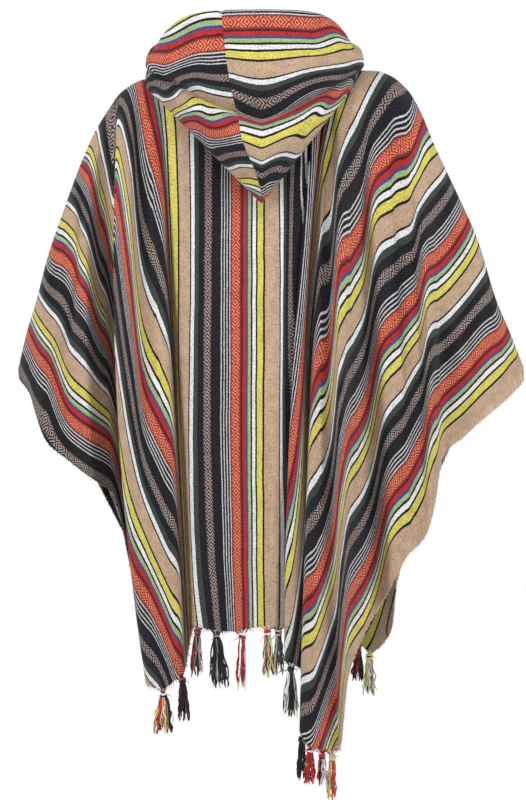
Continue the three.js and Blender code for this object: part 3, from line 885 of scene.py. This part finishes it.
@dataclass
class BodyCloth:
    """The back or front of the blanket length, hung from the ridge over shoulders and arms."""

    half: Half
    lines: list[HangLine]
    creases: list[Crease]
    pleats: list[Pleat]
    steps_across: int
    round_steps: int = 20
    plumb_steps: int = 94
    u_drops: tuple[float, ...] = (0.0, 0.45, 0.75, 1.0)
    pleat_fade: float = 0.14
    pleat_sharpness: float = 0.25
    plain_drop: float = 0.10
    fit_rounds: int = 500
    least_area: float = 1e-14
    least_push: float = 1e-30
    thickness: float = 1.8 * MM
    arm_round: float = 60 * MM
    arm_round_share: float = 0.8
    slit_depth: float = 130 * MM
    slit_half_width: float = 12 * MM
    slit_lean: float = 0.3
    stripe_origin: float = 8.8 * MM
    left_selvage: float = -712 * MM
    right_selvage: float = 641 * MM

    @property
    def outward(self) -> float:
        """The way out of the cloth along Y."""
        return -1.0 if self.half is Half.BACK else 1.0

    def ridge_points(self, x: Array) -> Array:
        """Points of the shoulder ridge at x, or of the neck hole's edge inside the neck."""
        side = np.clip(x / NECK.half_width, -1, 1)
        neck_y, neck_z = NECK.edge(np.sqrt(1 - side * side), self.half is Half.BACK)
        if self.half is Half.FRONT:
            slit = np.maximum(0, 1 - np.abs(x) / self.slit_half_width)
            neck_y = neck_y + self.slit_lean * self.slit_depth * slit
            neck_z = neck_z - self.slit_depth * slit
        inside = NECK.spans(x)
        return np.stack([x, np.where(inside, neck_y, ridge_at(x, "y")),
                         np.where(inside, neck_z, ridge_at(x, "z"))], axis=-1)

    def hang(self) -> tuple[Array, Array]:
        """Mid-surface points and the place u across the flat cloth, for the whole grid.

        The upper rows turn over the arm on a quarter ellipse, and the lower ones hang plumb, each
        line a parabola through its top, middle and low place.

        Returns:
            Points (columns, rows, 3) and u (columns, rows).
        """
        table = Table(self.lines)
        line = table.positions(self.steps_across)
        read = {name: table.at(line, name) for name in table.columns}
        top = self.ridge_points(read["top_x"])
        fall = top[..., 2] - read["low_z"]
        share = np.minimum(self.arm_round, self.arm_round_share * fall) / fall
        turn = 1 - np.cos(np.linspace(0, math.pi / 2, self.round_steps + 1))
        rest = np.linspace(0, 1, self.plumb_steps + 1)[1:]
        drop = np.concatenate([share * turn, share + (1 - share) * rest], axis=1)
        x = through_three(top[..., 0], read["mid_x"], read["low_x"], drop)
        plumb = through_three(read["near_y"], read["mid_y"], read["low_y"], drop)
        over = np.minimum(drop / share, 1)
        y = top[..., 1] + (plumb - top[..., 1]) * np.sqrt(1 - (1 - over) ** 2)
        z = top[..., 2] - fall * drop
        u_values = [ridge_at(read["top_x"], "u"), read["mid_u"], read["deep_u"], read["low_u"]]
        u = through_points(u_values, self.u_drops, drop)
        fold, hidden = self.pleated(line, drop)
        free = smooth_step(drop, 0.0, self.plain_drop)
        y = y + self.outward * (fold + self.creased(line, drop)) * free
        u = np.clip(u + hidden, self.left_selvage, self.right_selvage)
        return np.stack([x, y, z], axis=-1), u

    def pleated(self, line: Array, drop: Array) -> tuple[Array, Array]:
        """How far the sharp pleats lift the cloth, and how much cloth their steep side hides.

        Both follow a saw tooth across the hang lines: a quick step at the pleat, and a slow way
        back over its span.
        """
        lift, hidden, fade = np.zeros(drop.shape), np.zeros(drop.shape), self.pleat_fade
        for p in self.pleats:
            away = (line - through_three(p.top, p.mid, p.low, drop)) / p.span
            tooth = np.tanh(away / self.pleat_sharpness) * np.clip(1 - np.abs(away), 0, 1)
            shown = smooth_step(drop, p.start - fade, p.start + fade)
            shown = shown * (1 - smooth_step(drop, p.end - fade, p.end + fade))
            lift += 0.5 * p.depth * MM * tooth * shown
            hidden += 0.5 * p.hidden * MM * tooth * shown
        return lift, hidden

    def creased(self, line: Array, drop: Array) -> Array:
        """How far the listed creases lift the cloth outward."""
        rise = np.zeros(drop.shape)
        for c in self.creases:
            middle = c.line + c.lean * (drop - c.drop)
            rise += c.rise * MM * bell((line - middle) / c.width) * bell((drop - c.drop) / c.length)
        return rise

    def along(self, points: Array, u: Array) -> Array:
        """Place v along the stripes: the field whose steps fit the stripes' direction best.

        That direction is the normal crossed with the gradient of u on the cloth. v starts at 0 on
        the ridge, and the squared misfit of all its steps is made least by conjugate gradients.
        """
        a, b = np.gradient(points, axis=0), np.gradient(points, axis=1)
        ua, ub = np.gradient(u, axis=0), np.gradient(u, axis=1)
        aa, ab, bb = (a * a).sum(-1), (a * b).sum(-1), (b * b).sum(-1)
        area = np.maximum(aa * bb - ab * ab, self.least_area)
        slope = ((ua * bb - ub * ab) / area)[..., None] * a
        slope += ((ub * aa - ua * ab) / area)[..., None] * b
        stripe = np.cross(grid_normals(points), unit(slope, TINY))
        stripe *= np.where((stripe * b).sum(-1, keepdims=True) < 0, -1.0, 1.0)
        wide, tall = np.sqrt(aa) + TINY, np.sqrt(bb) + TINY
        hold_a, hold_b = (tall / wide)[1:], (wide / tall)[:, 1:]
        want_a = (0.5 * (stripe[1:] + stripe[:-1]) * np.diff(points, axis=0)).sum(-1)
        want_b = (0.5 * (stripe[:, 1:] + stripe[:, :-1]) * np.diff(points, axis=1)).sum(-1)

        def spread(step_a: Array, step_b: Array) -> Array:
            """Gathers the held steps at the points, with the ridge fixed."""
            total = np.zeros(u.shape)
            total[1:] += hold_a * step_a
            total[:-1] -= hold_a * step_a
            total[:, 1:] += hold_b * step_b
            total[:, :-1] -= hold_b * step_b
            total[:, 0] = 0.0
            return total

        v = np.concatenate([np.zeros((len(u), 1)), np.abs(want_b).cumsum(axis=1)], axis=1)
        left = spread(want_a - np.diff(v, axis=0), want_b - np.diff(v, axis=1))
        way, size = left.copy(), (left * left).sum()
        for _ in range(self.fit_rounds):
            pushed = spread(np.diff(way, axis=0), np.diff(way, axis=1))
            pace = size / max((way * pushed).sum(), self.least_push)
            v, left = v + pace * way, left - pace * pushed
            way, size = left + way * ((left * left).sum() / size), (left * left).sum()
        return v

    def build(self) -> tuple[Thing, Hem]:
        """Builds the cloth.

        Returns:
            The object and its lower edge.
        """
        points, u = self.hang()
        normals = grid_normals(points)
        ridge = np.gradient(points[:, 0], axis=0) * np.array([1.0, 0.0, 1.0])
        over = unit(np.cross(ridge, np.array([0.0, self.outward, 0.0])))
        outside = ~NECK.spans(points[:, 0, 0])
        normals[outside, 0] = over[outside]
        v = self.along(points, u) * -self.outward
        u = u - self.stripe_origin
        out = unit(points[:, -1] - points[:, -2])
        cloth = shell_object(f"{self.half.value}_cloth", points, normals, self.thickness,
                             np.stack([u, v], axis=-1))
        return cloth, Hem(points[:, -1], u[:, -1], out, self.steps_across)


@dataclass
class HoodHalf:
    """One half of the pointed hood, from the centre seam round to its front end."""

    side: Side
    rings: list[HoodRing]
    steps_per_ring: int = 10
    steps_round: int = 96
    thickness: float = 1.8 * MM
    reach: float = math.radians(172)
    crowding: float = 1.15
    front_half_width: float = 16 * MM
    seam_step: float = 0.06
    seam_groove: float = 2.2 * MM
    seam_reach: float = 7 * MM
    neck_seam_rise: float = 2.2 * MM
    left_seam_u: float = 142.8 * MM
    right_seam_u: float = 83.4 * MM

    def place(self, ring: dict[str, Array], angle: Array) -> Array:
        """Points of rings at angles round the neck from the centre back."""
        sine, cosine = np.abs(np.sin(angle)), np.cos(angle)
        hand = np.sign(angle)
        width = np.where(angle < 0, ring["left"], ring["right"])
        back = np.stack([
            hand * width * sine,
            ring["side_y"] + (ring["back_y"] - ring["side_y"]) * cosine,
            ring["side_z"] + (ring["back_z"] - ring["side_z"]) * (1 - sine ** ring["vee"]),
        ], axis=-1)
        ahead = -cosine
        over = 2 * ahead * (1 - ahead) * ring["over_z"]
        front = np.stack([
            hand * (self.front_half_width + (width - self.front_half_width) * sine),
            ring["side_y"] + (ring["front_y"] - ring["side_y"]) * ahead,
            ring["side_z"] * (1 - ahead) ** 2 + over + ring["front_z"] * ahead**2,
        ], axis=-1)
        return np.where((cosine >= 0)[..., None], back, front)

    def neckline(self, angle: Array) -> Array:
        """Points of the neck hole's edge, where the hood is sewn on."""
        y, z = NECK.edge(np.abs(np.cos(angle)), np.cos(angle) > 0)
        return np.stack([NECK.half_width * np.sin(angle), y, z + self.neck_seam_rise], axis=-1)

    def stripe_place(self, ring: dict[str, Array], angle: Array) -> Array:
        """Place u across the stripes, eased between the rings' values at four angles."""
        hand = self.side.name.lower()
        nodes = np.radians([0.0, 30.0, 60.0, 90.0, 180.0])
        held = [ring[f"{hand}_s{degrees}"] for degrees in (0, 30, 60, 90, 90)]
        s = held[0] + np.zeros(angle.shape)
        for k in range(len(held) - 1):
            share = np.clip((np.abs(angle) - nodes[k]) / (nodes[k + 1] - nodes[k]), 0, 1)
            s = s + (held[k + 1] - held[k]) * share * share * (3 - 2 * share)
        return self.left_seam_u - s if self.side is Side.LEFT else self.right_seam_u + s

    def build(self) -> Thing:
        """Builds the half, with its seam edge rolled in a little along the centre seam."""
        table = Table(self.rings)
        position = table.positions(self.steps_per_ring)
        ring = {n: table.at(position, n, 1.0 if n == "vee" else MM) for n in table.columns}
        seam = np.arcsin(ring["seam_x"] / np.where(ring["seam_x"] < 0, ring["left"], ring["right"]))
        turn = np.linspace(0, 1, self.steps_round + 1) ** self.crowding
        sign = self.side.value
        angle = seam + (sign * self.reach - seam) * turn
        points = self.place(ring, np.where(np.abs(angle) < TINY, sign * TINY, angle))
        points[0] = self.neckline(angle[0])
        normals = grid_normals(points)
        across = self.place(ring, seam + self.seam_step) - self.place(ring, seam - self.seam_step)
        normals[:, 0] = unit(np.cross(np.gradient(points[:, 0], axis=0), across[:, 0]) * sign)
        steps = np.linalg.norm(np.diff(points, axis=1), axis=-1)
        away = np.concatenate([np.zeros((len(position), 1)), steps.cumsum(axis=1)], axis=1)
        groove = self.seam_groove * bell(away / self.seam_reach) * (position > 0.5)
        points = points + normals * (sign * groove)[..., None]
        uv = np.stack([self.stripe_place(ring, angle), away], axis=-1)
        name = f"hood_{self.side.name.lower()}_cloth"
        return shell_object(name, points, grid_normals(points), self.thickness, uv)


# --------------------------------------------------------------------------- yarns


def strands(paths: Array, radius: Array, sides: int) -> tuple[Array, Array]:
    """Tubes along paths, open at both ends, which taper to a point.

    Args:
        paths: array (strands, points, 3).
        radius: radius of each strand.
        sides: corners of the tube's section.

    Returns:
        Points (n, 3) and quads (m, 4).
    """
    count, length, _ = paths.shape
    ahead = unit(np.gradient(paths, axis=1), TINY)
    aside = unit(np.cross(ahead, STRAND_SIDE), TINY)
    other = np.cross(ahead, aside)
    taper = np.ones(length)
    taper[[0, -1]] = STRAND_TIP
    size = (radius[:, None] * taper)[..., None, None]
    turn = np.linspace(0, 2 * math.pi, sides, endpoint=False)[:, None]
    rim = aside[..., None, :] * np.cos(turn) + other[..., None, :] * np.sin(turn)
    points = paths[..., None, :] + size * rim
    ids = np.arange(count * length * sides).reshape(count, length, sides)
    a, d = ids[:, :-1], ids[:, 1:]
    b, c = np.roll(a, -1, axis=2), np.roll(d, -1, axis=2)
    return points.reshape(-1, 3), np.stack([a, b, c, d], axis=-1).reshape(-1, 4)


def strand_object(name: str, paths: Array, radius: Array, colours: Array,
                  sides: int = 6) -> Thing:
    """Makes one object of many strands, each in its own colour."""
    points, faces = strands(paths, radius, sides)
    each = np.repeat(colours, paths.shape[1] * sides, axis=0)
    return mesh_object(name, points, faces, colours=each)


def stripe_colours(u: Array) -> Array:
    """Colour of the warp yarn at places u across the flat cloth (0 at the repeat's start)."""
    stripes, _, ends = zip(*stripe_spans())
    palette = np.array([s.colour for s in stripes])
    return palette[np.searchsorted(ends, np.mod(u / STRIPE_REPEAT, 1.0), side="right")]


@dataclass(frozen=True)
class Tassel:
    """A knotted tassel at one fringe node of the part.

    colours are its yarns' in turn round it, spread is how far its end opens, and drift how far it
    hangs to the right.
    """

    node: str
    colours: tuple[Colour, ...]
    yarns: int = 26
    spread: float = 10 * MM
    drift: float = 0.0


@dataclass(frozen=True)
class Fringe:
    """Warp yarns of a hem, gathered and knotted into tassels.

    The ranges are drawn from for each yarn: how much of the tassel's length it takes, how far out
    its end lies, its sway in millimetres, and the shares of its radius and colour that it keeps.
    wraps are the knot's turns of yarn, by lift in millimetres, starting angle, and radius in
    millimetres. loose_reach is how far the knot's loose ends stand out, in millimetres.
    """

    segments: int = 22
    knot_drop: float = 9 * MM
    knot_size: float = 4.2 * MM
    knot_turns: float = 1.6
    wraps: tuple[tuple[float, ...], ...] = ((1.6, 0.4, 2.0), (0.0, 2.5, 2.2), (-2.4, 4.4, 1.9))
    gather: float = 17 * MM
    hem_overlap: float = 2.5 * MM
    bundle_radius: float = 2.2 * MM
    flatness: float = 0.55
    waves: float = 1.6
    lengths: tuple[float, float] = (0.78, 1.03)
    openings: tuple[float, float] = (0.10, 1.0)
    sways: tuple[float, float] = (1.2, 6.0)
    radii: tuple[float, float] = (0.8, 1.25)
    shades: tuple[float, float] = (0.45, 1.15)
    yarn_radius: float = 1.15 * MM
    thin_share: float = 0.3
    thin_radius: float = 0.45
    stray_share: float = 0.35
    loose_ends: int = 6
    loose_radius: float = 0.55 * MM
    loose_reach: tuple[float, ...] = (7.5, 4.0, 6.5)
    loose_sag: float = -4.0 * MM
    pick_spread: float = 0.08
    wave_spread: float = 0.5

    def knot(self, place: Array, rng: Random) -> Array:
        """Paths of the turns of yarn that make the knot."""
        turns = np.linspace(0, 2 * math.pi * self.knot_turns, self.segments)
        rings = []
        for lift, start, _ in self.wraps:
            tilt, size = rng.uniform(-1.6, 1.6) * MM, self.knot_size * rng.uniform(0.8, 1.1)
            rings.append(place + np.stack([
                size * np.cos(turns + start),
                0.85 * size * np.sin(turns + start),
                lift * MM + 1.1 * MM * np.sin(turns * 0.6) + tilt * np.cos(turns),
            ], axis=-1))
        return np.array(rings)

    def tassel(self, plan: Tassel, hem: Array, rng: Random) -> Thing:
        """Builds one tassel: yarns from the hem to the knot, the knot, and the wavy skirt."""
        low, high = (np.array(corner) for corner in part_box(plan.node))
        top = np.array([(low[0] + high[0]) / 2, (low[1] + high[1]) / 2, high[2]])
        count = plan.yarns
        angle = np.sort(rng.uniform(0, 2 * math.pi, count))
        cosine, sine = np.cos(angle), np.sin(angle)
        edge = hem[np.linalg.norm(hem - top, axis=1) < self.gather]
        pick = np.clip(0.5 - 0.5 * cosine + rng.normal(0, self.pick_spread, count), 0, 1)
        starts = edge[(pick * (len(edge) - 1)).astype(int)] + [0.0, 0.0, self.hem_overlap]
        reach = (high[2] - low[2]) * rng.uniform(*self.lengths, count)
        away = plan.spread * np.sqrt(rng.uniform(*self.openings, count))
        ends = np.stack([top[0] + plan.drift + away * cosine,
                         top[1] + self.flatness * away * sine, top[2] - reach], axis=-1)
        knot = top - [0.0, 0.0, self.knot_drop]
        heart = knot + np.stack([cosine, sine, 0 * angle], axis=-1) * self.bundle_radius
        t = np.linspace(0, 1, self.segments)[:, None]
        share = (self.knot_drop / reach)[:, None, None]
        upper = np.clip(t / share, 0, 1)
        lower = np.clip((t - share) / (1 - share), 0, 1)
        opening = lower**0.62
        paths = starts[:, None] + (heart - starts)[:, None] * upper**0.8
        paths = paths + (ends - heart)[:, None] * np.concatenate([opening, opening, lower], axis=-1)
        phase = angle[:, None, None] + rng.normal(0, self.wave_spread, (count, 1, 2))
        waves = self.waves + rng.normal(0, self.wave_spread, (count, 1, 2))
        sway = np.sin(phase + 2 * math.pi * waves * lower) * lower * (1.3 - lower)
        paths[..., :2] += sway * rng.uniform(*self.sways, (count, 1, 1)) * MM
        thin = rng.uniform(0, 1, count) < self.thin_share
        radius = self.yarn_radius * np.where(thin, self.thin_radius, rng.uniform(*self.radii, count))
        palette = np.array(plan.colours)
        turn = (angle / (2 * math.pi) * len(palette)).astype(int)
        stray = rng.uniform(0, 1, count) < self.stray_share
        turn = np.where(stray, rng.integers(0, len(palette), count), turn) % len(palette)
        colours = palette[turn] * rng.uniform(*self.shades, (count, 1))
        loose = knot + rng.normal(0, 1, (self.loose_ends, 1, 3)) * 2.0 * MM
        aim = rng.normal(0, 1, (self.loose_ends, 1, 3)) * np.array(self.loose_reach) * MM
        loose = loose + aim * t + np.array([0.0, 0.0, self.loose_sag]) * t * t
        paths = np.concatenate([paths, self.knot(knot, rng), loose])
        radius = np.concatenate([radius, [wrap[2] * MM for wrap in self.wraps],
                                 np.full(self.loose_ends, self.loose_radius)])
        extra = palette[np.arange(len(self.wraps) + self.loose_ends) % len(palette)]
        thing = strand_object(f"{plan.node}_yarns", paths, radius, np.concatenate([colours, extra]))
        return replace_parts(thing, plan.node)

    def tassels(self, half: str, rows: list[tuple], hem: Hem,
                rng: Random) -> list[Thing]:
        """Builds a half's tassels, numbered in the order of their rows."""
        plans = [Tassel(f"fringe_{half}_{k:02d}", *row) for k, row in enumerate(rows, 1)]
        return [self.tassel(plan, hem.points, rng) for plan in plans]


@dataclass(frozen=True)
class Fray:
    """Short loose fibres along a stretch of a cloth's lower edge.

    from_warp is the share of them in the colour of the stripe they come from.
    """

    name: str
    first: float
    last: float
    a_metre: float
    longest: float
    colours: tuple[Colour, ...]
    from_warp: float = 0.0
    radius: float = 0.30 * MM
    rooted: float = 1.0 * MM

    def build(self, hem: Hem, rng: Random) -> Thing:
        """Builds the fibres between its first and last hang line."""
        edge = hem.between(self.first, self.last)
        steps = np.linalg.norm(np.diff(edge.points, axis=0), axis=1)
        run = np.concatenate([[0.0], steps.cumsum()])
        count = int(run[-1] * self.a_metre)
        place = rng.uniform(0, run[-1], count)
        start, aim = (np.stack([np.interp(place, run, row) for row in grid.T], axis=-1)
                      for grid in (edge.points, edge.out))
        aim = unit(aim + rng.normal(0, 0.5, (count, 3)))[:, None]
        length = self.longest * rng.uniform(0.25, 1, count)[:, None, None]
        t = np.linspace(0, 1, 5)[:, None]
        bend = rng.normal(0, 0.5, (count, 1, 3))
        paths = start[:, None] - aim * self.rooted
        paths = paths + aim * length * t + bend * length * t * t * 0.5
        palette = np.array(self.colours)
        colours = palette[rng.integers(0, len(palette), count)]
        warp = stripe_colours(np.interp(place, run, edge.u))
        colours = np.where((rng.uniform(0, 1, count) < self.from_warp)[:, None], warp, colours)
        radius = self.radius * rng.uniform(0.7, 1.4, count)
        return strand_object(self.name, paths, radius, colours, sides=4)


@dataclass(frozen=True)
class Loop:
    """A loose loop of dark yarn, held by both ends in the front half's edge by its right selvage.

    first and last are the hang lines where it leaves and enters the edge, and sway is how far its
    middle hangs away from the straight way between them.
    """

    name: str = "front_selvage_loop"
    first: float = 21.8
    last: float = 22.95
    sway: tuple[float, float, float] = (-0.009, -0.010, -0.022)
    radius: float = 1.4 * MM

    def build(self, hem: Hem) -> Thing:
        """Builds the loop on the front half's lower edge."""
        low, high = hem.between(self.first, self.last).points[[0, -1]]
        t = np.linspace(0, 1, 60)[:, None]
        path = low + (high - low) * t + np.sin(np.pi * t) * np.array(self.sway)
        return strand_object(self.name, path[None], np.array([self.radius]), np.array([BLACK]), 8)


BACK_TASSELS = [
    ((NAVY, WHITE, NAVY, YELLOW, RED, TAN, UMBER), 44, 19 * MM),
    ((RED, NAVY, UMBER, NAVY, UMBER), 30, 10 * MM, 2 * MM),
    ((FOREST, WINE, UMBER, RED, BEIGE), 32, 11 * MM, -3 * MM),
    ((UMBER, BEIGE, NAVY, UMBER, NAVY, UMBER), 52, 17 * MM, 4 * MM),
    ((WHITE, FOREST, RED, WINE, RED), 30, 9 * MM, -2 * MM),
    ((RED, WINE, WHITE, YELLOW, LIME), 30, 10 * MM, 2 * MM),
    ((TAN, UMBER, BEIGE, FOREST), 26, 9 * MM),
    ((NAVY, UMBER, FOREST, WHITE, UMBER, LIME), 42, 13 * MM),
    ((NAVY, NAVY, UMBER), 30, 9 * MM),
    ((NAVY, WHITE, RED, WINE), 28, 9 * MM),
    ((RED, WINE, NAVY, WHITE), 30, 11 * MM),
    ((BEIGE, TAN, YELLOW, RED), 28, 9 * MM, -2 * MM),
]

FRONT_TASSELS = [
    ((NAVY, TAN, WHITE, UMBER),),
    ((RED, NAVY, WINE),),
    ((WHITE, TAN, NAVY),),
    ((YELLOW, FOREST, NAVY),),
    ((RED, NAVY, UMBER),),
    ((TAN, WHITE, NAVY),),
    ((YELLOW, RED, NAVY),),
    ((WHITE, NAVY, FOREST),),
    ((WINE, RED, UMBER, FOREST), 34, 10 * MM),
    ((YELLOW, UMBER, YELLOW, WHITE, TAN), 38, 11 * MM),
]

BACK_FRAYS = records(Fray, [
    ("fray_back_left_selvage", 0.2, 8.6, 1500, 4.5 * MM, (NAVY, UMBER, BEIGE, LILAC)),
    ("fray_back_hem", 8.6, 27.4, 1100, 9.0 * MM, (WHITE, BEIGE, UMBER), 0.5),
    ("fray_back_right_selvage", 27.4, 37.8, 2400, 5.0 * MM, (LILAC, LILAC, WHITE, TAN)),
])

FRONT_FRAYS = records(Fray, [
    ("fray_front_left_selvage", 0.2, 6.0, 1300, 4.5 * MM, (NAVY, UMBER, BEIGE, LILAC)),
    ("fray_front_hem", 6.0, 20.4, 900, 8.0 * MM, (WHITE, BEIGE, UMBER), 0.5),
    ("fray_front_right_selvage", 20.4, 27.8, 2000, 5.0 * MM, (LILAC, LILAC, WHITE, TAN)),
])


# --------------------------------------------------------------------------- stage


@dataclass(frozen=True)
class Studio:
    """Plain pale floor, white surround and soft area lights."""

    floor_z: float = -1.45
    floor_radius: float = 2.2
    floor_corners: int = 96
    floor_look = {"Base Color": (0.85, 0.85, 0.85), "Roughness": 0.9}
    ambient: float = 0.33
    aim: tuple[float, float, float] = (0.0, 0.0, -0.5)

    def world(self) -> None:
        """White to the camera, dimmer as a light."""
        world = bpy.data.worlds.new("studio")
        bpy.context.scene.world = world
        graph = NodeGraph(world)
        light, seen = (graph.node("Background", {"Color": (1.0, 1.0, 1.0), "Strength": strength})
                       for strength in (self.ambient, 1.0))
        rays = graph.node("LightPath").outputs["Is Camera Ray"]
        mix = graph.node("MixShader", {0: rays, 1: light.outputs[0], 2: seen.outputs[0]})
        graph.node("OutputWorld", {0: mix.outputs[0]})

    def floor(self) -> Thing:
        """A round pale floor."""
        turn = np.linspace(0, 2 * math.pi, self.floor_corners, endpoint=False)
        rim = np.stack([np.cos(turn), np.sin(turn), 0 * turn], axis=-1) * self.floor_radius
        points = np.concatenate([[[0.0, 0.0, 0.0]], rim]) + np.array([0.0, 0.0, self.floor_z])
        ids = 1 + np.arange(self.floor_corners)
        floor = mesh_object("floor", points, np.stack([0 * ids, ids, np.roll(ids, -1)], axis=-1))
        paint = NodeGraph(bpy.data.materials.new("floor_paint")).surface(self.floor_look)
        floor.data.materials.append(paint)
        return floor

    def lamp(self, name: str, place: tuple[float, float, float], size: float,
             watts: float) -> None:
        """An area lamp that points at the middle of the cloth."""
        data = bpy.data.lights.new(name, "AREA")
        data.size = size
        data.energy = watts
        lamp = bpy.data.objects.new(name, data)
        bpy.context.scene.collection.objects.link(lamp)
        lamp.location = place
        lamp.rotation_mode = "QUATERNION"
        way = Vector(self.aim) - lamp.location
        lamp.rotation_quaternion = way.to_track_quat("-Z", "Y")

    def build(self) -> None:
        """Sets the stage."""
        self.world()
        self.floor()
        self.lamp("left", (-1.6, -1.15, 0.35), 0.9, 30.0)
        self.lamp("right", (1.7, -1.15, 0.25), 0.9, 30.0)
        self.lamp("front", (0.0, -2.9, 1.9), 1.4, 45.0)
        self.lamp("rear", (-1.0, 3.4, 0.6), 2.2, 80.0)


def camera() -> None:
    """The camera, level and square to the back."""
    data = bpy.data.cameras.new("camera")
    data.sensor_width = SENSOR_WIDTH
    data.lens = FOCAL_LENGTH
    made = bpy.data.objects.new("camera", data)
    bpy.context.scene.collection.objects.link(made)
    made.location = CAMERA_PLACE
    made.rotation_euler = (math.pi / 2, 0.0, 0.0)
    bpy.context.scene.camera = made


def main() -> None:
    """Builds the garment piece by piece, then the stage."""
    rng = np.random.default_rng(SEED)
    cotton = StripedCloth().material()
    yarn = yarn_material()
    back, back_hem = BodyCloth(Half.BACK, BACK_LINES, BACK_CREASES, BACK_PLEATS, BACK_STEPS).build()
    front, front_hem = BodyCloth(Half.FRONT, FRONT_LINES, FRONT_CREASES, FRONT_PLEATS,
                                 FRONT_STEPS).build()
    hood_left = HoodHalf(Side.LEFT, HOOD_RINGS).build()
    hood_right = HoodHalf(Side.RIGHT, HOOD_RINGS).build()
    for thing, node, slot in ((back, "back_panel", "body_cloth"), (front, "front_panel", "body_cloth"),
                              (hood_left, "hood_left", "hood_cloth"),
                              (hood_right, "hood_right", "hood_cloth")):
        thing.data.materials.append(cotton)
        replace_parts(thing, node)
        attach(thing, "root")
        LOG.info("%s: %d faces", thing.name, len(thing.data.polygons))
    tassels = {
        "back": Fringe().tassels("back", BACK_TASSELS, back_hem, rng),
        "front": Fringe().tassels("front", FRONT_TASSELS, front_hem, rng),
    }
    loose = [fray.build(back_hem, rng) for fray in BACK_FRAYS]
    loose += [fray.build(front_hem, rng) for fray in FRONT_FRAYS] + [Loop().build(front_hem)]
    for thing in tassels["back"] + tassels["front"] + loose:
        thing.data.materials.append(yarn)
        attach(thing, "root")
        LOG.info("%s: %d faces", thing.name, len(thing.data.polygons))
    Studio().build()
    camera()
    bpy.context.scene.view_settings.view_transform = "Standard"


if __name__ == "__main__":
    logging.basicConfig(level=logging.INFO)
    main()
